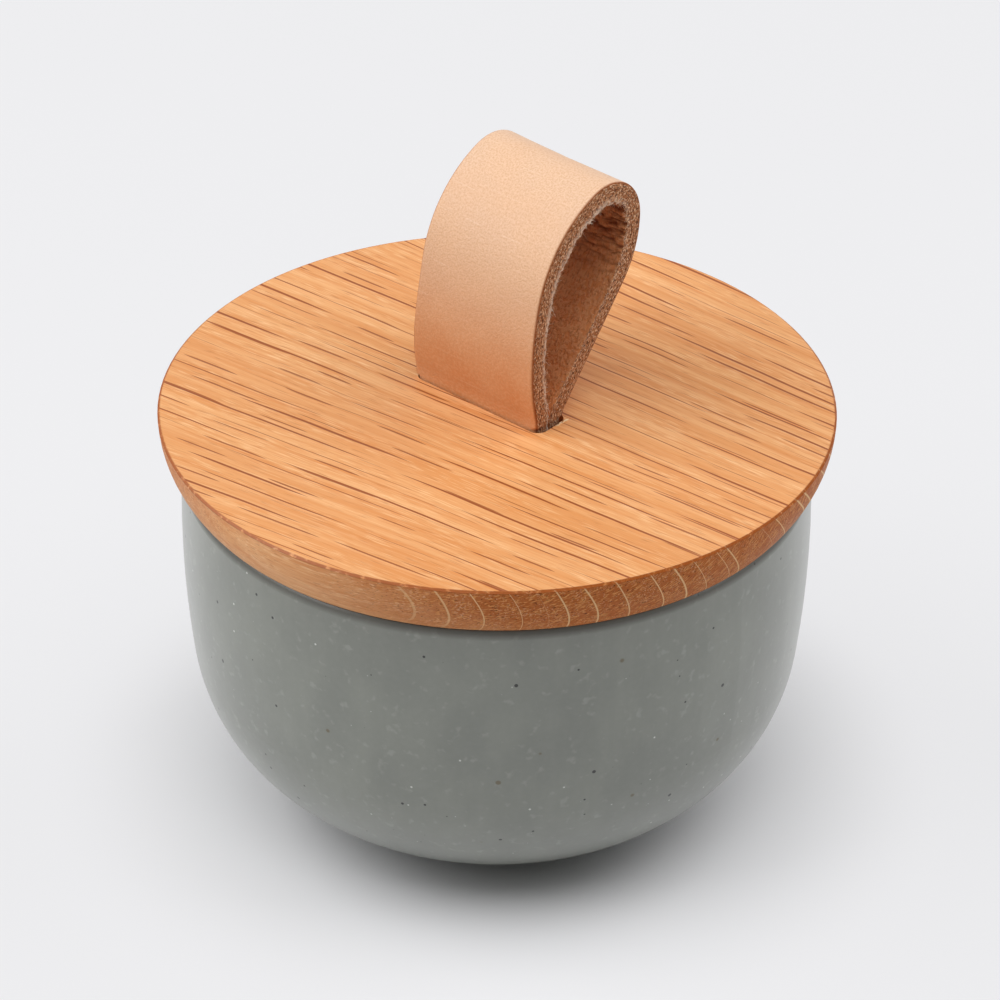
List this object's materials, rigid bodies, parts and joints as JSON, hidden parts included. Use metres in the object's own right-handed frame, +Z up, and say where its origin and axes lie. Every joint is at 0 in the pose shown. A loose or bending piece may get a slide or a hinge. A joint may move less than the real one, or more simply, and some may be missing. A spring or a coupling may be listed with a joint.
{
  "type": "salt crock",
  "caption": "Round-bellied stoneware crock for salt, with a turned oak plug lid that lifts off by a leaning leather finger loop.",
  "frame": {"origin": "on the floor, on the crock's axis, in the middle of the foot ring", "axes": "+Z up along the crock's axis, +X along the lid's slot and grain, +Y towards the side to which the loop leans"},
  "size_m": [0.11, 0.11, 0.1121],
  "materials": {
    "stoneware_glaze": "satin speckled",
    "oak": "oiled",
    "silicone": "matte",
    "leather": "vegetable tanned, satin",
    "beech": "plain"
  },
  "bodies": {
    "crock": {"crock_body": "stoneware_glaze"},
    "seal": {"seal_ring": "silicone"},
    "lid": {"lid": "oak", "strap_end_front": "leather", "strap_end_back": "leather", "strap_dowel": "beech"},
    "loop": {"leather_loop": "leather"}
  },
  "joints": [
    {"name": "lid_lift", "type": "slide", "parent": "crock", "child": "seal", "axis": [0, 0, 1], "range_m": [0, 0.06]},
    {"name": "lid_turn", "type": "hinge", "parent": "seal", "child": "lid", "pos_m": [0, 0, 0.064], "axis": [0, 0, 1], "continuous": true},
    {"name": "loop_flex", "type": "hinge", "parent": "lid", "child": "loop", "pos_m": [0, 0, 0.0753], "axis": [1, 0, 0], "range_deg": [-15, 40], "stiffness_Nm_per_rad": 0.2}
  ]
}
